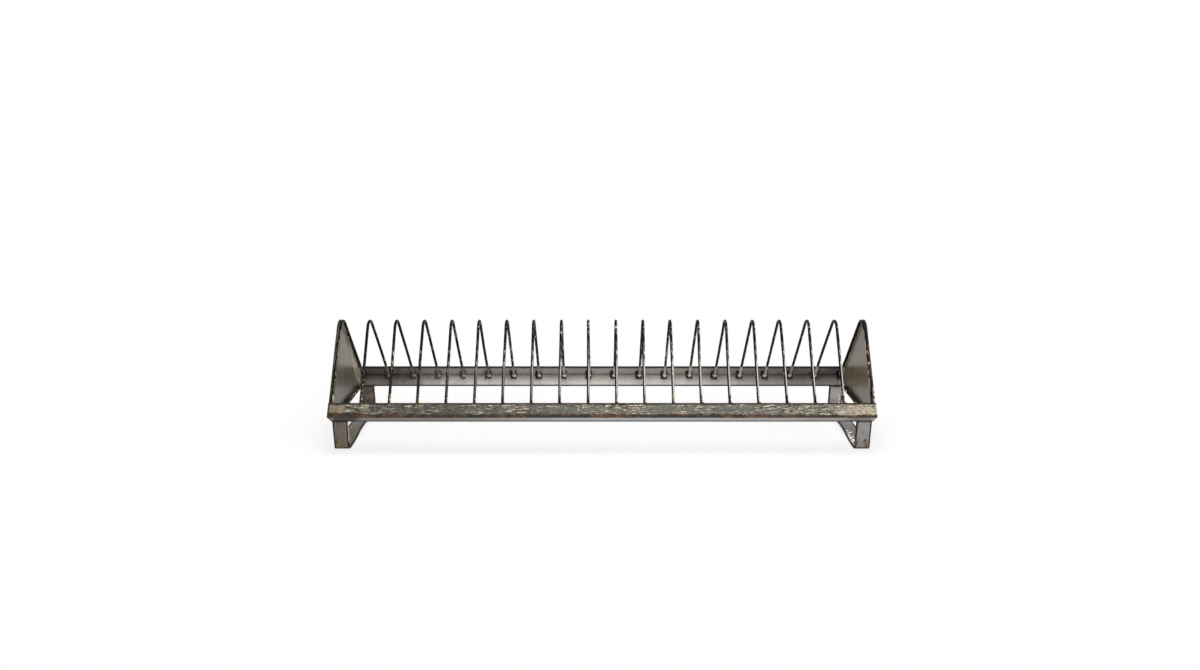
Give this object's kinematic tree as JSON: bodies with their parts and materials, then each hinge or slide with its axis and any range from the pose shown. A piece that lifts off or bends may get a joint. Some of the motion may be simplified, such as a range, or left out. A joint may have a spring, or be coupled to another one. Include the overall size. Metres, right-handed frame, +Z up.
{
  "type": "metal dish rack",
  "caption": "Long welded steel dish rack: wire hoops rise between two angle rails to hold plates on edge, closed by triangular end panels, on strap feet.",
  "frame": {"origin": "on the floor under the middle of the rack, between the two feet", "axes": "+X along the rails to the right, +Y from the front rail to the back rail, +Z up"},
  "size_m": [0.73, 0.179, 0.1627],
  "materials": {
    "rail_paint": "grey paint, chipped through to a cream undercoat, with rust along the bend",
    "wire_paint": "dark grey satin paint with cream chips and rust near the welds",
    "panel_paint": "satin grey paint with rusty edges",
    "strap_paint": "satin grey paint with rust spots near the floor",
    "weld_bead": "rough painted weld, rusting through"
  },
  "bodies": {
    "root": {"front_rail": "rail_paint", "back_rail": "rail_paint", "end_panel_left": "panel_paint", "end_panel_right": "panel_paint", "end_tie_left": "wire_paint", "end_tie_right": "wire_paint", "foot_left": "strap_paint", "foot_right": "strap_paint", "hoop_01": "wire_paint", "hoop_02": "wire_paint", "hoop_03": "wire_paint", "hoop_04": "wire_paint", "hoop_05": "wire_paint", "hoop_06": "wire_paint", "hoop_07": "wire_paint", "hoop_08": "wire_paint", "hoop_09": "wire_paint", "hoop_10": "wire_paint", "hoop_11": "wire_paint", "hoop_12": "wire_paint", "hoop_13": "wire_paint", "hoop_14": "wire_paint", "hoop_15": "wire_paint", "hoop_16": "wire_paint", "hoop_17": "wire_paint", "hoop_18": "wire_paint", "end_hoop_left": "wire_paint", "end_hoop_right": "wire_paint", "front_hoop_welds": "weld_bead", "back_hoop_welds": "weld_bead", "panel_tack_welds": "weld_bead", "foot_welds": "weld_bead"}
  },
  "joints": []
}
